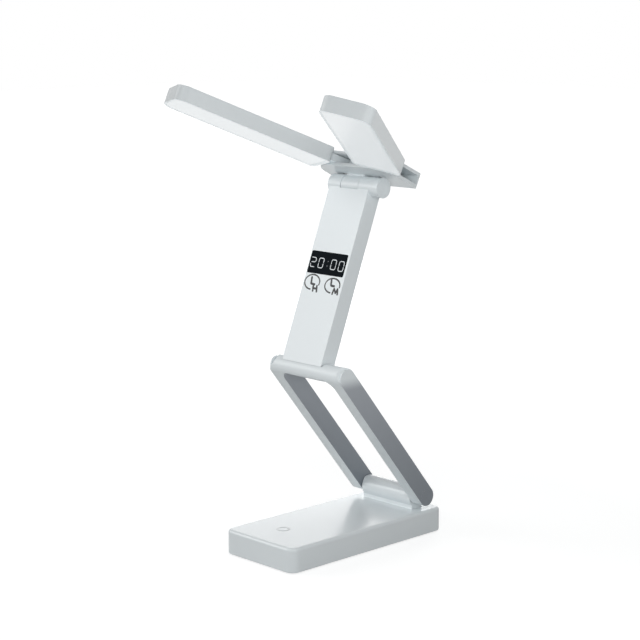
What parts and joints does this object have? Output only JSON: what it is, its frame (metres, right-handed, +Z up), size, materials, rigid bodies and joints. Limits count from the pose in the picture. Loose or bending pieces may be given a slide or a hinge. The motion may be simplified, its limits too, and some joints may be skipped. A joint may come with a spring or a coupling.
{
  "type": "folding led desk lamp",
  "caption": "Folding desk lamp: flat base, open lower frame, arm with a clock display, and a tilting head with light panels that swivel apart.",
  "frame": {"origin": "centre of the underside of the base", "axes": "+X across the width, +Y to the hinge end of the base, +Z up"},
  "size_m": [0.198, 0.1774, 0.3451],
  "materials": {
    "white_plastic": "satin moulded ABS, cool white",
    "diffuser": "milky acrylic",
    "display_window": "smoked glossy acrylic",
    "display_module": "black potted module",
    "touch_ring": "satin",
    "steel": "turned and nickel plated",
    "nylon": "moulded",
    "rubber": "fine grain",
    "ballast_iron": "rough",
    "battery_foil": "laminated foil",
    "circuit_board": "solder mask",
    "led_board": "white solder mask on aluminium",
    "led": "phosphor",
    "wire": "insulation"
  },
  "bodies": {
    "base": {"base_shell": "white_plastic", "base_plate": "white_plastic", "rubber_sole": "rubber", "base_screws": "steel", "ballast_plate": "ballast_iron", "battery_pack": "battery_foil", "main_board": "circuit_board", "board_screws": "steel", "usb_socket": "steel", "touch_ring": "touch_ring", "touch_sensor": "circuit_board", "base_hinge_pin": "steel", "base_hinge_washers": "nylon"},
    "frame": {"lower_frame": "white_plastic", "leg_covers": "white_plastic", "leg_cover_screws": "steel", "frame_wires": "wire", "base_hinge_caps": "white_plastic", "elbow_pin": "steel", "elbow_caps": "white_plastic", "elbow_washers": "nylon"},
    "arm": {"arm_back_shell": "white_plastic", "arm_front_cover": "white_plastic", "display_window": "display_window", "display_module": "display_module", "clock_board": "circuit_board", "clock_board_screws": "steel", "key_sensor_board": "circuit_board", "coin_cell": "steel", "arm_screws": "steel", "arm_wires": "wire", "tilt_pin": "steel", "tilt_end_caps": "white_plastic"},
    "head": {"head_carrier": "white_plastic", "carrier_cover": "white_plastic", "carrier_screws": "steel", "swivel_pins": "steel", "swivel_washers": "nylon", "tilt_washers": "nylon"},
    "left_panel": {"left_panel_housing": "white_plastic", "left_diffuser": "diffuser", "left_led_board": "led_board", "left_leds": "led", "left_panel_screws": "steel"},
    "right_panel": {"right_panel_housing": "white_plastic", "right_diffuser": "diffuser", "right_led_board": "led_board", "right_leds": "led", "right_panel_screws": "steel"}
  },
  "joints": [
    {"name": "base_hinge", "type": "hinge", "parent": "base", "child": "frame", "pos_m": [0, 0.0605, 0.031], "axis": [1, 0, 0], "range_deg": [-44.5, 50.5]},
    {"name": "elbow_hinge", "type": "hinge", "parent": "frame", "child": "arm", "pos_m": [0, -0.02632, 0.13633], "axis": [-1, 0, 0], "range_deg": [-8, 109]},
    {"name": "head_tilt", "type": "hinge", "parent": "arm", "child": "head", "pos_m": [0, 0.02519, 0.26865], "axis": [1, 0, 0], "range_deg": [-40, 93.5]},
    {"name": "left_swivel", "type": "hinge", "parent": "head", "child": "left_panel", "pos_m": [-0.01875, 0.02519, 0.26865], "axis": [0, 0.4242, 0.9056], "range_deg": [-65.9, 24.1]},
    {"name": "right_swivel", "type": "hinge", "parent": "head", "child": "right_panel", "pos_m": [0.01875, 0.02519, 0.26865], "axis": [0, -0.4242, -0.9056], "range_deg": [-59.7, 30.3]}
  ]
}
